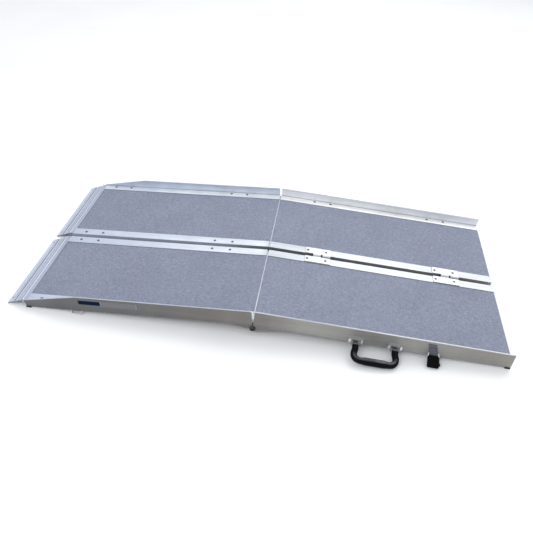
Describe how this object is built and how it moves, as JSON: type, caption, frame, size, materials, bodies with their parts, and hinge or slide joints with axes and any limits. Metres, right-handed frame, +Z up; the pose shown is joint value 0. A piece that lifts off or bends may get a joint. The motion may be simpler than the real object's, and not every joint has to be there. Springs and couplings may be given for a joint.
{
  "type": "portable folding wheelchair ramp",
  "caption": "Folding wheelchair ramp in two side-by-side halves, hinged at mid length and along the seam, with gritted decks, raised side rails, transition plates and carry handles.",
  "frame": {"origin": "on the floor under the middle of the open ramp", "axes": "+X from the transition plates to the square end, +Y to the left half, +Z up"},
  "size_m": [1.5816, 0.8902, 0.0984],
  "materials": {
    "mill_aluminium": "mill-finish extrusion with drawn streaks",
    "bright_strip": "bright mill-finish strip",
    "deck_plate": "mill-finish sheet",
    "grit_tread": "grey-blue mineral grit, non-slip",
    "channel": "mill-finish channel",
    "bright_bar": "bright mill-finish bar",
    "rivet": "dull rivet heads",
    "hinge_plate": "mill-finish plate",
    "hinge_extrusion": "satin extrusion",
    "transition_plate": "satin grooved extrusion",
    "zinc_steel": "zinc-plated steel",
    "seam_hinge": "bright hinge leaf",
    "steel_pin": "steel pin",
    "black_handle": "black moulded plastic",
    "bracket_steel": "bright plated steel",
    "black_webbing": "woven black webbing",
    "black_buckle": "black moulded buckle",
    "bright_wire": "plated wire",
    "rubber_shoe": "black rubber",
    "blue_label": "dark blue vinyl, blank",
    "pale_label": "pale film, blank"
  },
  "bodies": {
    "right_landing": {"right_landing_side_rail": "mill_aluminium", "right_landing_centre_rail": "bright_strip", "right_landing_deck": "deck_plate", "right_landing_tread": "grit_tread", "right_landing_crossmembers": "channel", "right_landing_end_bars": "bright_bar", "right_landing_rivets": "rivet", "right_pivot_bolts": "zinc_steel", "right_pivot_nuts": "zinc_steel", "right_seam_leaves": "seam_hinge", "right_handle_brackets": "bracket_steel", "right_strap_webbing": "black_webbing", "right_landing_feet": "rubber_shoe"},
    "right_entry": {"right_entry_side_rail": "mill_aluminium", "right_entry_centre_rail": "bright_strip", "right_entry_deck": "deck_plate", "right_entry_tread": "grit_tread", "right_entry_crossmembers": "channel", "right_entry_butt_bar": "bright_bar", "right_entry_rivets": "rivet", "right_entry_hinge_plates": "hinge_plate", "right_end_hinge": "hinge_extrusion", "right_keeper_loop": "bright_wire", "right_entry_feet": "rubber_shoe", "blue_label": "blue_label", "pale_label": "pale_label"},
    "right_transition_plate": {"right_transition_plate": "transition_plate"},
    "right_carry_handle": {"right_carry_handle": "black_handle"},
    "right_strap": {"right_strap_tail": "black_webbing", "right_strap_buckle": "black_buckle"},
    "left_landing": {"left_landing_side_rail": "mill_aluminium", "left_landing_centre_rail": "bright_strip", "left_landing_deck": "deck_plate", "left_landing_tread": "grit_tread", "left_landing_crossmembers": "channel", "left_landing_end_bars": "bright_bar", "left_landing_rivets": "rivet", "left_pivot_bolts": "zinc_steel", "left_pivot_nuts": "zinc_steel", "left_seam_leaves": "seam_hinge", "left_handle_brackets": "bracket_steel", "left_strap_webbing": "black_webbing", "left_landing_feet": "rubber_shoe"},
    "left_entry": {"left_entry_side_rail": "mill_aluminium", "left_entry_centre_rail": "bright_strip", "left_entry_deck": "deck_plate", "left_entry_tread": "grit_tread", "left_entry_crossmembers": "channel", "left_entry_butt_bar": "bright_bar", "left_entry_rivets": "rivet", "left_entry_hinge_plates": "hinge_plate", "left_end_hinge": "hinge_extrusion", "left_keeper_loop": "bright_wire", "left_entry_feet": "rubber_shoe"},
    "left_transition_plate": {"left_transition_plate": "transition_plate"},
    "left_carry_handle": {"left_carry_handle": "black_handle"},
    "left_strap": {"left_strap_tail": "black_webbing", "left_strap_buckle": "black_buckle"},
    "seam_pin_1": {"seam_pin_1": "steel_pin"},
    "seam_pin_2": {"seam_pin_2": "steel_pin"}
  },
  "joints": [
    {"name": "seam_fold", "type": "hinge", "parent": "right_landing", "child": "left_landing", "pos_m": [0.17339, 0, 0.064], "axis": [0.9985, 0, -0.0544], "range_deg": [0, 170]},
    {"name": "right_mid_fold", "type": "hinge", "parent": "right_landing", "child": "right_entry", "pos_m": [0.00641, -0.19, 0.03203], "axis": [0, -1, 0], "range_deg": [0, 173.5]},
    {"name": "left_mid_fold", "type": "hinge", "parent": "left_landing", "child": "left_entry", "pos_m": [0.00641, 0.19, 0.03203], "axis": [0, -1, 0], "range_deg": [0, 173.5]},
    {"name": "right_plate_hinge", "type": "hinge", "parent": "right_entry", "child": "right_transition_plate", "pos_m": [-0.73622, -0.19, 0.02132], "axis": [0, 1, 0], "range_deg": [-20, 95]},
    {"name": "left_plate_hinge", "type": "hinge", "parent": "left_entry", "child": "left_transition_plate", "pos_m": [-0.73622, 0.19, 0.02132], "axis": [0, 1, 0], "range_deg": [-20, 95]},
    {"name": "right_handle_swing", "type": "hinge", "parent": "right_landing", "child": "right_carry_handle", "pos_m": [0.38148, -0.38, 0.02863], "axis": [-0.9985, 0, 0.0544], "range_deg": [-60, 35]},
    {"name": "left_handle_swing", "type": "hinge", "parent": "left_landing", "child": "left_carry_handle", "pos_m": [0.38148, 0.38, 0.02863], "axis": [0.9985, 0, -0.0544], "range_deg": [-60, 35]},
    {"name": "right_strap_swing", "type": "hinge", "parent": "right_landing", "child": "right_strap", "pos_m": [0.55646, -0.3741, 0.02712], "axis": [-0.9985, 0, 0.0544], "range_deg": [-42, 85]},
    {"name": "left_strap_swing", "type": "hinge", "parent": "left_landing", "child": "left_strap", "pos_m": [0.55646, 0.3741, 0.02712], "axis": [0.9985, 0, -0.0544], "range_deg": [-42, 85]},
    {"name": "seam_pin_1_slide", "type": "slide", "parent": "right_landing", "child": "seam_pin_1", "axis": [-0.9985, 0, 0.0544], "range_m": [0, 0.066]},
    {"name": "seam_pin_2_slide", "type": "slide", "parent": "right_landing", "child": "seam_pin_2", "axis": [-0.9985, 0, 0.0544], "range_m": [0, 0.066]}
  ]
}
